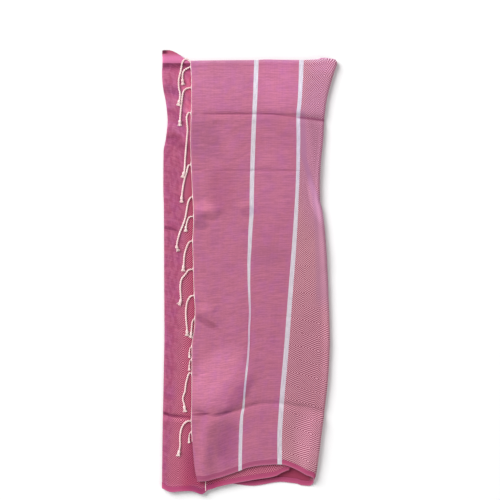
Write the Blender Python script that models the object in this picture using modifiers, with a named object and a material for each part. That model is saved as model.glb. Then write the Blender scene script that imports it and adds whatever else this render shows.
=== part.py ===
"""Hammam towel with tasselled ends, folded flat in the form in which it is wrapped round a body.

Metres, +Z up, +Y towards the towel's top hem. The origin is under the middle of the folded towel.
The cloth runs in one spiral: the front flap from its fringed edge to the fold on the right, the
back along the floor, the fold on the left, the turn under the flap, the inner fold, and the tail.
"""

import math
from collections import namedtuple

import bmesh
import bpy
from mathutils import Vector

NAME = "hammam_towel"
MM = 0.001

# Cloth. Levels are heights of the middle of the cloth over the floor, in millimetres.
CLOTH_THICKNESS = 1.5
FLAP_LEVEL = 16.0
UNDER_LEVEL = 10.0
TAIL_LEVEL = 5.0
BACK_LEVEL = CLOTH_THICKNESS / 2

# A fold bulges sideways by half the height between the two layers that it joins.
RIGHT_FOLD_DEPTH = (FLAP_LEVEL - BACK_LEVEL) / 2
LEFT_FOLD_DEPTH = (UNDER_LEVEL - BACK_LEVEL) / 2
INNER_FOLD_DEPTH = (UNDER_LEVEL - TAIL_LEVEL) / 2

# Distances along the cloth from its fringed edge, in millimetres
NEAR_STRIPE = 157.0
FAR_STRIPE = 261.0
FLAP_END = 333.0
BACK_START = 355.0
BACK_END = 727.0
UNDER_START = 741.0
UNDER_END = 1112.0
TAIL_START = 1120.0
CLOTH_END = 1440.0

# Outlines of the folded towel, in millimetres: height up the towel, and place across it
LEFT_FOLD = (
    (510, -199.8), (483, -199.8), (462, -200.8), (441, -200.2), (418, -197.4), (393, -192.3),
    (349, -188.1), (308, -192.0), (276, -197.4), (200, -198.0), (142, -196.6), (-64, -195.8),
    (-133, -195.4), (-225, -196.8), (-300, -198.3), (-363, -199.6), (-467, -200.8),
)
RIGHT_FOLD = (
    (494, 187.6), (487, 198.6), (481, 201.2), (474, 199.8), (462, 195.6), (437, 188.3),
    (395, 177.5), (349, 171.9), (303, 169.4), (257, 164.4), (200, 161.8), (165, 162.4),
    (142, 167.6), (74, 175.2), (5, 179.4), (-64, 182.3), (-156, 184.8), (-225, 182.3),
    (-317, 172.8), (-386, 164.1), (-455, 155.2), (-469, 152.4), (-479, 147.8), (-494, 146.2),
)
FRINGED_EDGE = (
    (485, -134.8), (437, -132.4), (389, -132.6), (303, -134.4), (248, -133.2), (201, -131.1),
    (120, -127.4), (72, -129.6), (28, -128.6), (-35, -127.0), (-86, -124.2), (-125, -125.2),
    (-168, -131.4), (-295, -131.8), (-340, -132.9), (-409, -129.7), (-455, -124.7),
    (-480, -118.9),
)
NEAR_STRIPE_LINE = (
    (488, 16.1), (430, 14.3), (303, 8.8), (165, 5.2), (138, 5.0), (97, 2.3), (51, 0.4),
    (18, -1.1), (-18, -1.1), (-55, -0.1), (-90, 1.2), (-129, -0.6), (-166, -1.4), (-202, -3.8),
    (-239, -7.8), (-276, -11.3), (-313, -14.2), (-331, -17.6), (-363, -19.5), (-404, -20.7),
    (-455, -21.4),
)
FAR_STRIPE_LINE = (
    (490, 119.6), (437, 117.8), (386, 114.8), (366, 112.6), (346, 112.3), (303, 112.6),
    (281, 112.3), (239, 111.6), (165, 108.8), (51, 101.9), (-53, 93.8), (-179, 84.3),
    (-317, 72.8), (-386, 69.2), (-439, 69.4),
)
INNER_FOLD = (
    (483, 185.3), (349, 153.1), (200, 141.6), (28, 153.1), (-156, 162.3), (-294, 148.5),
    (-386, 123.2), (-460, 88.7),
)
TAIL_EDGE = -161.0

# Hems, in millimetres: distance along the cloth, and height up the towel
LOWER_HEM = (
    (0, -479.8), (31, -479.3), (58, -475.9), (88, -471.8), (123, -464.4), (158, -455.7),
    (177, -449.7), (202, -445.3), (227, -443), (256, -441.6), (268, -441.8), (280, -445.3),
    (293, -451), (307, -458.4), (320, -466), (333, -471), (341, -479), (347, -488),
    (355, -493.6), (373, -493), (387, -488.6), (402, -487), (414, -485.6), (430, -484.4),
    (448, -486), (473, -490.4), (499, -493.4), (515, -493), (531, -491.2), (560, -487.5),
    (612, -487), (700, -490), (727, -495), (741, -499.6), (754, -505.2), (768, -506.5),
    (784, -505.2), (814, -503.9), (829, -505.2), (844, -509.3), (854, -511.4), (861, -509.4),
    (874, -501.4), (889, -498.2), (904, -494), (919, -491.6), (950, -486.6), (1017, -477.5),
    (1063, -472.4), (1085, -467.4), (1100, -460), (1112, -456), (1120, -456), (1200, -464),
    (1440, -470),
)
UPPER_HEM = (
    (0, 485.4), (100, 486.4), (157, 486.8), (180, 488), (210, 487.4), (261, 486.8),
    (276, 487.2), (300, 488.6), (312, 491.8),
    (323, 491.6), (335, 489), (355, 487), (440, 484), (660, 484), (715, 502), (727, 507.5),
    (741, 510.3), (751, 510.3), (762, 506.9), (776, 498.6), (784, 492.5), (791, 488.2),
    (808, 482), (1112, 479.5), (1440, 476),
)

# Soft folds. A path is points across and up the towel; width and rise are in millimetres, and a
# negative rise is a trough.
Fold = namedtuple("Fold", "path width rise")
FLAP_FOLDS = (
    Fold(((10, 250), (5, -120)), 90, 3.0),                                # air under the middle
    Fold(((-120, 362), (15, 362), (107, 357), (166, 349)), 9, -2.6),      # pressed crease, upper
    Fold(((-112, -325), (-71, -329), (-18, -314), (31, -302), (68, -302),
          (136, -314), (164, -322)), 9, -3.0),                            # pressed crease, lower
    Fold(((-114, 142), (-84, 137)), 15, 3.0),                             # pucker by the fringe
    Fold(((-6, -240), (-14, -272), (-30, -296), (-58, -314)), 22, 5.0),   # swell over that crease
    Fold(((-88, -345), (-108, -470)), 22, 6.5),                           # lower left fold
    Fold(((152, -345), (132, -450)), 16, 4.0),                            # lower right fold
    Fold(((134, 345), (148, 257), (158, 200), (172, 130), (176, 20)), 14, 3.0),  # by right fold
    Fold(((-118, -60), (-80, -104)), 16, 2.5),                            # slanting crease
)
UNDER_FOLDS = (
    Fold(((-200, 483), (-165, 483), (-146, 479)), 9, 4.5),                # rolled top
    Fold(((-200, 469), (-155, 469)), 8, -2.0),                            # dip under the roll
    Fold(((-198, -332), (-165, -336)), 11, -1.5),                         # pressed crease, lower
)
FRINGED_EDGE_DROOP = 2.0
DROOP_WIDTH = 22.0

# Rows of the sheet: shares of the way up from the lower hem, closer by the hems and creases
HEM_ROWS = (0.0, 0.008, 0.022)
TOP_ROWS = (0.944, 0.955, 0.966, 0.976, 0.985, 0.993, 1.0)
CREASE_ROWS = (0.852, 0.861, 0.870, 0.879, 0.888, 0.138, 0.150, 0.162, 0.174, 0.186)
PLAIN_ROW_SPACING = 0.038
CROWDED = 0.6

# Steps along the cloth: end of each stretch, and its number of faces. The lower hem has a short
# wave beside the corner of the flap.
WAVE_START = 838.0
WAVE_END = 874.0
COLUMN_RUNS = (
    (NEAR_STRIPE, 8), (FAR_STRIPE, 5), (FLAP_END, 5), (BACK_START, 6), (BACK_END, 9),
    (UNDER_START, 6), (WAVE_START, 7), (WAVE_END, 4), (UNDER_END, 7), (TAIL_START, 4),
    (CLOTH_END, 6),
)

# Fringe: a strip of gathered ends beside the cloth, and the corded tassels that it holds
STRIP_GAP = 0.3
STRIP_WIDTH = 2.0
STRIP_THICKNESS = 2.0
CORD_RADIUS = 2.0
REST_GAP = 0.45
CORD_STEP = 11.0

# A tassel's outline in millimetres: the distance from its root or back from its tip, and its
# radius. The tuft flares to the tip, and the knot is above it.
ROOT_SHAPE = ((0, 0.7), (3, 1.2), (8, CORD_RADIUS))
TIP_SHAPE = ((0, 3.2), (7, 2.6), (9, 1.9), (11, 2.9), (14, 2.9), (17, CORD_RADIUS))

# Tassels of the outer edge: height of the root, then points as (out from the edge, drop)
OUTER_TASSELS = (
    (482, ((9.7, -7.5), (14.5, -6), (19.4, 2), (23.5, 21), (27.9, 45), (27.4, 58), (24.8, 72),
           (25, 80), (29, 101))),
    (472, ((7, 3.2), (13.4, 6.4), (18.5, 13), (19.8, 23), (18.9, 43))),
    (424, ((10.6, 1.9), (17, 6), (20.6, 14), (22.8, 31), (25.5, 55), (27.2, 77), (28.3, 89))),
    (365, ((5.8, -1.5), (9.6, 4), (11.3, 10), (10.3, 22), (9, 38), (10.6, 57), (12.6, 80),
           (14.5, 105), (16.3, 132), (21.5, 149))),
    (247, ((6.6, 2.2), (10.9, 17), (15.3, 32), (19, 49), (22, 72), (23, 88))),
    (173, ((4.8, 1.5), (10.6, 10), (14.2, 28), (17.7, 48), (23.2, 65), (30.3, 82), (35.4, 101),
           (37.5, 115), (33.5, 126))),
    (128, ((7.1, 0.6), (12, 3.4), (15, 10), (17, 18), (20, 36))),
    (72, ((8.1, 2.6), (14.5, 15), (19.8, 34), (21.2, 52), (22.8, 71))),
    (7, ((10.9, 2.2), (19.6, 13), (27, 22), (30, 32), (30.7, 42), (30, 57), (29.3, 69),
         (30.7, 76), (35, 83))),
    (-54, ((8.5, 1.2), (12.9, 6.2), (17.9, 18), (20.2, 40), (18.6, 66), (17.3, 80), (17.9, 94))),
    (-106, ((4.4, 3.5), (7.3, 12), (8.2, 23), (9.4, 36), (11, 46))),
    (-171, ((4.6, 3.4), (6.5, 14), (6.7, 27))),
    (-200, ((4.6, 3.4), (6.5, 14), (6.7, 27))),
    (-233, ((5.2, -1.5), (10.5, 9), (14.8, 28), (16.2, 40), (21.3, 58), (17.8, 74), (16.8, 89))),
    (-342, ((7.6, 0.1), (13.5, 3), (21.6, 14), (25.4, 27), (26.6, 43), (26.2, 54), (28.4, 69),
            (31.2, 82))),
    (-367, ((4.6, 3.4), (6.5, 14), (6.7, 27))),
)

# Tassels of the hidden inner edge hang alike, in the room beside the left fold.
INNER_TASSEL_COUNT = 16
INNER_FIRST_ROOT = 466.0
INNER_ROOT_SPACING = 58.0
INNER_ROUTE = ((4.5, 3), (7.5, 14), (8.6, 40), (13.5, 66), (17, 84))
INNER_LONGER = 5.0
INNER_RHYTHM = 2.3
INNER_HEM_MARGIN = 12.0

CLOTH_COLOUR = (0.55, 0.17, 0.29, 1.0)
FRINGE_COLOUR = (0.88, 0.80, 0.70, 1.0)
FABRIC_ROUGHNESS = 0.9


def smooth_line(points):
    """A function through the points that is smooth and never overshoots them."""
    points = sorted(points)
    steps = list(zip(points, points[1:]))
    slopes = [(b[1] - a[1]) / (b[0] - a[0]) for a, b in steps]
    tangents = [slopes[0]]
    for before, after in zip(slopes, slopes[1:]):
        same_way = before * after > 0
        tangents.append(2 * before * after / (before + after) if same_way else 0.0)
    tangents.append(slopes[-1])

    def value(x):
        x = min(max(x, points[0][0]), points[-1][0])
        i = 0
        while i < len(steps) - 1 and x > points[i + 1][0]:
            i += 1
        (x0, y0), (x1, y1) = steps[i]
        span = x1 - x0
        s = (x - x0) / span
        rise = y1 - y0
        bend_in = tangents[i] * span - rise
        bend_out = rise - tangents[i + 1] * span
        return y0 + s * rise + s * (1 - s) * ((1 - s) * bend_in + s * bend_out)

    return value


left_fold_at = smooth_line(LEFT_FOLD)
right_fold_at = smooth_line(RIGHT_FOLD)
fringed_edge_at = smooth_line(FRINGED_EDGE)
near_stripe_at = smooth_line(NEAR_STRIPE_LINE)
far_stripe_at = smooth_line(FAR_STRIPE_LINE)
inner_fold_at = smooth_line(INNER_FOLD)
lower_hem_at = smooth_line(LOWER_HEM)
upper_hem_at = smooth_line(UPPER_HEM)


def distance_to_path(x, y, path):
    """Distance from a point to a chain of straight runs, in millimetres."""
    nearest = math.inf
    for (ax, ay), (bx, by) in zip(path, path[1:]):
        run_x, run_y = bx - ax, by - ay
        share = ((x - ax) * run_x + (y - ay) * run_y) / (run_x ** 2 + run_y ** 2)
        share = min(max(share, 0.0), 1.0)
        nearest = min(nearest, math.hypot(x - ax - share * run_x, y - ay - share * run_y))
    return nearest


def relief(x, y, folds):
    """Height that the soft folds add at a place."""
    return sum(f.rise * math.exp(-(distance_to_path(x, y, f.path) / f.width) ** 2) for f in folds)


def flap_height(x, y):
    from_edge = max(x - fringed_edge_at(y), 0.0)
    droop = FRINGED_EDGE_DROOP * math.exp(-(from_edge / DROOP_WIDTH) ** 2)
    return FLAP_LEVEL + relief(x, y, FLAP_FOLDS) - droop


def under_height(x, y):
    return UNDER_LEVEL + relief(x, y, UNDER_FOLDS)


def between(a, b, share):
    return a + (b - a) * share


def share_of(value, start, end):
    return (value - start) / (end - start)


def round_fold(root_x, depth, z_from, z_to, share):
    """A point on the half round of a fold; a negative depth bulges to the left."""
    angle = math.pi * share
    middle = (z_from + z_to) / 2
    return root_x + depth * math.sin(angle), middle + (z_from - z_to) / 2 * math.cos(angle)


def cross_section(along, y):
    """Place across the towel and height of the cloth's middle, at a distance along the cloth."""
    right_root = right_fold_at(y) - RIGHT_FOLD_DEPTH
    left_root = left_fold_at(y) + LEFT_FOLD_DEPTH
    inner_root = inner_fold_at(y) - INNER_FOLD_DEPTH
    if along <= FLAP_END:
        stations = (
            (0.0, fringed_edge_at(y)), (NEAR_STRIPE, near_stripe_at(y)),
            (FAR_STRIPE, far_stripe_at(y)), (FLAP_END, right_root),
        )
        x = smooth_line(stations)(along)
        return x, flap_height(x, y)
    if along <= BACK_START:
        share = share_of(along, FLAP_END, BACK_START)
        upper = flap_height(right_root, y)
        return round_fold(right_root, RIGHT_FOLD_DEPTH, upper, BACK_LEVEL, share)
    if along <= BACK_END:
        return between(right_root, left_root, share_of(along, BACK_START, BACK_END)), BACK_LEVEL
    if along <= UNDER_START:
        share = share_of(along, BACK_END, UNDER_START)
        upper = under_height(left_root, y)
        return round_fold(left_root, -LEFT_FOLD_DEPTH, BACK_LEVEL, upper, share)
    if along <= UNDER_END:
        x = between(left_root, inner_root, share_of(along, UNDER_START, UNDER_END))
        return x, under_height(x, y)
    if along <= TAIL_START:
        share = share_of(along, UNDER_END, TAIL_START)
        upper = under_height(inner_root, y)
        return round_fold(inner_root, INNER_FOLD_DEPTH, upper, TAIL_LEVEL, share)
    return between(inner_root, TAIL_EDGE, share_of(along, TAIL_START, CLOTH_END)), TAIL_LEVEL


def cloth_point(along, up):
    """Middle of the cloth in metres: distance along it, and share of the way up it."""
    y = between(lower_hem_at(along), upper_hem_at(along), up)
    x, z = cross_section(along, y)
    return Vector((x, y, z)) * MM


def sheet_columns():
    columns = [0.0]
    for end, faces in COLUMN_RUNS:
        start = columns[-1]
        columns += [between(start, end, (i + 1) / faces) for i in range(faces)]
    return columns


def sheet_rows():
    """Even rows, with the closer rows of hems and creases in place of those near them."""
    close = sorted(HEM_ROWS + CREASE_ROWS + TOP_ROWS)
    count = round(1 / PLAIN_ROW_SPACING)
    plain = [i / count for i in range(count + 1)]
    apart = [p for p in plain if min(abs(p - c) for c in close) > CROWDED * PLAIN_ROW_SPACING]
    return sorted(close + apart)


def fabric_material(name, colour):
    material = bpy.data.materials.new(name)
    material.use_nodes = True
    material.diffuse_color = colour
    shader = material.node_tree.nodes["Principled BSDF"]
    shader.inputs["Base Color"].default_value = colour
    shader.inputs["Roughness"].default_value = FABRIC_ROUGHNESS
    shader.inputs["Metallic"].default_value = 0.0
    return material


def new_object(name, mesh, collection):
    thing = bpy.data.objects.new(name, mesh)
    collection.objects.link(thing)
    return thing


def grid_sheet(name, columns, rows, place, thickness, collection):
    """A grid laid on the surface that place(column, row) gives, made solid evenly to both sides."""
    bm = bmesh.new()
    bmesh.ops.create_grid(bm, x_segments=len(columns) - 1, y_segments=len(rows) - 1, size=0.5)
    for vert in bm.verts:
        column = round((vert.co.x + 0.5) * (len(columns) - 1))
        row = round((vert.co.y + 0.5) * (len(rows) - 1))
        vert.co = place(columns[column], rows[row])
    mesh = bpy.data.meshes.new(name)
    bm.to_mesh(mesh)
    bm.free()
    sheet = new_object(name, mesh, collection)
    solid = sheet.modifiers.new("thickness", "SOLIDIFY")
    solid.thickness = thickness * MM
    solid.offset = 0.0
    solid.use_even_offset = True
    return sheet


def tassel_route(root, offsets, edge_x, edge_z, floor_z):
    """Centre line and radii of one tassel, from inside the strip to the tuft that rests flat.

    floor_z(x, y) is the height of the cloth's face under the tassel.
    """
    in_strip = STRIP_GAP + STRIP_WIDTH / 2
    plan = [(edge_x(root) - in_strip, root)]
    plan += [(edge_x(root) - out, root - drop) for out, drop in offsets]
    lengths = [0.0]
    for (ax, ay), (bx, by) in zip(plan, plan[1:]):
        lengths.append(lengths[-1] + math.hypot(bx - ax, by - ay))
    total = lengths[-1]
    x_at = smooth_line(list(zip(lengths, (p[0] for p in plan))))
    y_at = smooth_line(list(zip(lengths, (p[1] for p in plan))))
    radius_from_root = smooth_line(ROOT_SHAPE)
    radius_from_tip = smooth_line(TIP_SHAPE)

    cord_start = ROOT_SHAPE[-1][0]
    cord_end = total - TIP_SHAPE[-1][0]
    cord_steps = round((cord_end - cord_start) / CORD_STEP)
    steps = [distance for distance, _ in ROOT_SHAPE]
    steps += [between(cord_start, cord_end, (i + 1) / (cord_steps + 1)) for i in range(cord_steps)]
    steps += sorted(total - distance for distance, _ in TIP_SHAPE)

    route = []
    for s in steps:
        radius = radius_from_tip(total - s) if s > cord_start else radius_from_root(s)
        x, y = x_at(s), y_at(s)
        resting = floor_z(x, y) + REST_GAP + max(radius, CORD_RADIUS)
        z = between(edge_z(root), resting, min(s / cord_start, 1.0))
        route.append((Vector((x, y, z)) * MM, radius * MM))
    return route


def tube_mesh(name, routes, collection):
    """One mesh of closed four-sided tubes, each along one route of centres and radii."""
    curve = bpy.data.curves.new(name + "_curve", "CURVE")
    curve.dimensions = "3D"
    curve.bevel_depth = MM
    curve.bevel_resolution = 0
    curve.use_fill_caps = True
    for route in routes:
        spline = curve.splines.new("POLY")
        spline.points.add(len(route) - 1)
        for point, (centre, radius) in zip(spline.points, route):
            point.co = (*centre, 1.0)
            point.radius = radius / MM
    guide = new_object(name + "_curve", curve, collection)
    depsgraph = bpy.context.evaluated_depsgraph_get()
    mesh = bpy.data.meshes.new_from_object(guide.evaluated_get(depsgraph))
    bpy.data.objects.remove(guide)
    bm = bmesh.new()
    bm.from_mesh(mesh)
    bmesh.ops.remove_doubles(bm, verts=bm.verts, dist=0.01 * MM)
    bmesh.ops.recalc_face_normals(bm, faces=bm.faces)
    bm.to_mesh(mesh)
    bm.free()
    return new_object(name, mesh, collection)


def fringe(name, routes, strip_place, collection, cutters):
    """A strip of gathered ends with its tassels fused into it."""
    strip = grid_sheet(name, (0.0, 1.0), sheet_rows(), strip_place, STRIP_THICKNESS, collection)
    tassels = tube_mesh(name + "_tassels", routes, cutters)
    tassels.hide_render = True
    tassels.display_type = "WIRE"
    union = strip.modifiers.new("tassels", "BOOLEAN")
    union.operation = "UNION"
    union.solver = "EXACT"
    union.object = tassels
    return strip


def outer_fringe(collection, cutters):
    def edge_x(y):
        return fringed_edge_at(y)

    def edge_z(y):
        return flap_height(fringed_edge_at(y), y)

    def under_face(x, y):
        return under_height(x, y) + CLOTH_THICKNESS / 2

    def strip_place(across, up):
        y = between(LOWER_HEM[0][1], UPPER_HEM[0][1], up)
        x = fringed_edge_at(y) - STRIP_GAP - STRIP_WIDTH * (1 - across)
        return Vector((x, y, edge_z(y))) * MM

    routes = [tassel_route(root, offsets, edge_x, edge_z, under_face)
              for root, offsets in OUTER_TASSELS]
    return fringe("fringe_outer", routes, strip_place, collection, cutters)


def inner_fringe(collection, cutters):
    def edge_x(y):
        return TAIL_EDGE

    def edge_z(y):
        return TAIL_LEVEL

    def back_face(x, y):
        return BACK_LEVEL + CLOTH_THICKNESS / 2

    def strip_place(across, up):
        y = between(lower_hem_at(CLOTH_END), upper_hem_at(CLOTH_END), up)
        x = TAIL_EDGE - STRIP_GAP - STRIP_WIDTH * (1 - across)
        return Vector((x, y, TAIL_LEVEL)) * MM

    lowest_tip = lower_hem_at(CLOTH_END) + INNER_HEM_MARGIN
    full_drop = INNER_ROUTE[-1][1]
    routes = []
    for i in range(INNER_TASSEL_COUNT):
        root = INNER_FIRST_ROOT - INNER_ROOT_SPACING * i
        drop = full_drop + INNER_LONGER * math.sin(INNER_RHYTHM * i)
        stretch = min(drop, root - lowest_tip) / full_drop
        offsets = [(out, down * stretch) for out, down in INNER_ROUTE]
        routes.append(tassel_route(root, offsets, edge_x, edge_z, back_face))
    return fringe("fringe_inner", routes, strip_place, collection, cutters)


def new_collection(name):
    collection = bpy.data.collections.new(name)
    bpy.context.scene.collection.children.link(collection)
    return collection


def main():
    for thing in list(bpy.data.objects):
        bpy.data.objects.remove(thing)
    towel = new_collection(NAME)
    cutters = new_collection("tassels_to_join")
    cloth_material = fabric_material("pink_cotton", CLOTH_COLOUR)
    fringe_material = fabric_material("cream_yarn", FRINGE_COLOUR)

    cloth = grid_sheet("towel_cloth", sheet_columns(), sheet_rows(), cloth_point,
                       CLOTH_THICKNESS, towel)
    cloth.data.materials.append(cloth_material)
    for piece in (outer_fringe(towel, cutters), inner_fringe(towel, cutters)):
        piece.data.materials.append(fringe_material)


main()
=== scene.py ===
"""The looks of the hammam towel: its woven cloth with stripes, hems and creases, and its fringes.

The tables and the spiral of the cloth are those of the part's own source. Lengths are in
millimetres until a mesh is made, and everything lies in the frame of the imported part.
"""

import math
import random
from collections import namedtuple

import bmesh
import bpy
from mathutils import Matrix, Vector, noise


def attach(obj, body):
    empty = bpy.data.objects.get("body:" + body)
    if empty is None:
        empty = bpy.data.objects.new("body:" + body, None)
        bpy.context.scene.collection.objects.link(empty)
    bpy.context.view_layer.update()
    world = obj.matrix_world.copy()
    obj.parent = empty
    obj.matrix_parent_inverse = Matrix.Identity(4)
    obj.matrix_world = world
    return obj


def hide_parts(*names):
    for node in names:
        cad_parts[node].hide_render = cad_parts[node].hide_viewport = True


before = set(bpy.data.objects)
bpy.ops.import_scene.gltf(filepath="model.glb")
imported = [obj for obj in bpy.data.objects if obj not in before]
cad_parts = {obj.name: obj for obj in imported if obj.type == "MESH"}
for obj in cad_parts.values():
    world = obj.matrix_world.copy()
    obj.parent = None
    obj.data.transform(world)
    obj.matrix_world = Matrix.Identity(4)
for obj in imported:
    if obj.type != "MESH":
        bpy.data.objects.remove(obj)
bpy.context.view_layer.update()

MM = 0.001

# Cloth. Levels are heights of the middle of the cloth over the floor.
CLOTH_WIDTH = 1000
CLOTH_LENGTH = 1440
CLOTH_THICKNESS = 1.1
HEM_THICKNESS = 1.9
HEM_WIDTH = 12
REST_GAP = 0.1
FLAP_LEVEL = 16
UNDER_LEVEL = 10
TAIL_LEVEL = 5
BACK_LEVEL = 0.75

# A fold bulges sideways by half the height between the two layers that it joins.
RIGHT_FOLD_DEPTH = (FLAP_LEVEL - BACK_LEVEL) / 2
LEFT_FOLD_DEPTH = (UNDER_LEVEL - BACK_LEVEL) / 2
INNER_FOLD_DEPTH = (UNDER_LEVEL - TAIL_LEVEL) / 2

# Distances along the cloth from its fringed edge
NEAR_STRIPE = 157
FAR_STRIPE = 261
FLAP_END = 333
BACK_START = 355
BACK_END = 727
UNDER_START = 741
UNDER_END = 1112
TAIL_START = 1120

# Outlines of the folded towel: height up the towel, and place across it
LEFT_FOLD = (
    (510, -199.8), (483, -199.8), (462, -200.8), (441, -200.2), (418, -197.4), (393, -192.3),
    (349, -188.1), (308, -192), (276, -197.4), (200, -198), (142, -196.6), (-64, -195.8),
    (-133, -195.4), (-225, -196.8), (-300, -198.3), (-363, -199.6), (-467, -200.8),
)
RIGHT_FOLD = (
    (494, 187.6), (487, 198.6), (481, 201.2), (474, 199.8), (462, 195.6), (437, 188.3),
    (395, 177.5), (349, 171.9), (303, 169.4), (257, 164.4), (200, 161.8), (165, 162.4),
    (142, 167.6), (74, 175.2), (5, 179.4), (-64, 182.3), (-156, 184.8), (-225, 182.3),
    (-317, 172.8), (-386, 164.1), (-455, 155.2), (-469, 152.4), (-479, 147.8), (-494, 146.2),
)
FRINGED_EDGE = (
    (485, -134.8), (437, -132.4), (389, -132.6), (303, -134.4), (248, -133.2), (201, -131.1),
    (120, -127.4), (72, -129.6), (28, -128.6), (-35, -127), (-86, -124.2), (-125, -125.2),
    (-168, -131.4), (-295, -131.8), (-340, -132.9), (-409, -129.7), (-455, -124.7),
    (-480, -118.9),
)
NEAR_STRIPE_LINE = (
    (488, 16.1), (430, 14.3), (303, 8.8), (165, 5.2), (138, 5), (97, 2.3), (51, 0.4),
    (18, -1.1), (-18, -1.1), (-55, -0.1), (-90, 1.2), (-129, -0.6), (-166, -1.4), (-202, -3.8),
    (-239, -7.8), (-276, -11.3), (-313, -14.2), (-331, -17.6), (-363, -19.5), (-404, -20.7),
    (-455, -21.4),
)
FAR_STRIPE_LINE = (
    (490, 119.6), (437, 117.8), (386, 114.8), (366, 112.6), (346, 112.3), (303, 112.6),
    (281, 112.3), (239, 111.6), (165, 108.8), (51, 101.9), (-53, 93.8), (-179, 84.3),
    (-317, 72.8), (-386, 69.2), (-439, 69.4),
)
INNER_FOLD = (
    (483, 185.3), (349, 153.1), (200, 141.6), (28, 153.1), (-156, 162.3), (-294, 148.5),
    (-386, 123.2), (-460, 88.7),
)
TAIL_EDGE = -161

# Hems: distance along the cloth, and height up the towel
LOWER_HEM = (
    (0, -479.8), (31, -479.3), (58, -475.9), (88, -471.8), (123, -464.4), (158, -455.7),
    (177, -449.7), (202, -445.3), (227, -443), (256, -441.6), (268, -441.8), (280, -445.3),
    (293, -451), (307, -458.4), (320, -466), (333, -471), (341, -479), (347, -488),
    (355, -493.6), (373, -493), (387, -488.6), (402, -487), (414, -485.6), (430, -484.4),
    (448, -486), (473, -490.4), (499, -493.4), (515, -493), (531, -491.2), (560, -487.5),
    (612, -487), (700, -490), (727, -495), (741, -499.6), (754, -505.2), (768, -506.5),
    (784, -505.2), (814, -503.9), (829, -505.2), (844, -509.3), (854, -511.4), (861, -509.4),
    (874, -501.4), (889, -498.2), (904, -494), (919, -491.6), (950, -486.6), (1017, -477.5),
    (1063, -472.4), (1085, -467.4), (1100, -460), (1112, -456), (1120, -456), (1200, -464),
    (1440, -470),
)
UPPER_HEM = (
    (0, 485.4), (100, 486.4), (157, 486.8), (180, 488), (210, 487.4), (261, 486.8),
    (276, 487.2), (300, 488.6), (312, 491.8), (323, 491.6), (335, 489),
    (355, 487), (440, 484), (660, 484), (715, 502), (727, 507.5), (741, 510.3), (751, 510.3),
    (762, 506.9), (776, 498.6), (784, 492.5), (791, 488.2), (808, 482), (1112, 479.5),
    (1440, 476),
)

# Soft folds, as in the part: path, width and rise. A path is points across and up the towel, and a
# negative rise is a trough.
FLAP_FOLDS = (
    (((10, 250), (5, -120)), 90, 3),  # air under the middle
    (((-120, 362), (15, 362), (107, 357), (166, 349)), 9, -2.6),  # pressed crease, upper
    (((-112, -325), (-71, -329), (-18, -314), (31, -302), (68, -302),
      (136, -314), (164, -322)), 9, -3),  # pressed crease, lower
    (((-114, 142), (-84, 137)), 15, 3),  # pucker by the fringe
    (((-6, -240), (-14, -272), (-30, -296), (-58, -314)), 22, 5),  # swell over that crease
    (((-88, -345), (-108, -470)), 22, 6.5),  # lower left fold
    (((152, -345), (132, -450)), 16, 4),  # lower right fold
    (((134, 345), (148, 257), (158, 200), (172, 130), (176, 20)), 14, 3),  # by right fold
    (((-118, -60), (-80, -104)), 16, 2.5),  # slanting crease
)
UNDER_FOLDS = (
    (((-200, 483), (-165, 483), (-146, 479)), 9, 4.5),  # rolled top
    (((-200, 469), (-155, 469)), 8, -2),  # dip under the roll
    (((-198, -332), (-165, -336)), 11, -1.5),  # pressed crease, lower
)
FRINGED_EDGE_DROOP = 2
DROOP_WIDTH = 22

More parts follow.
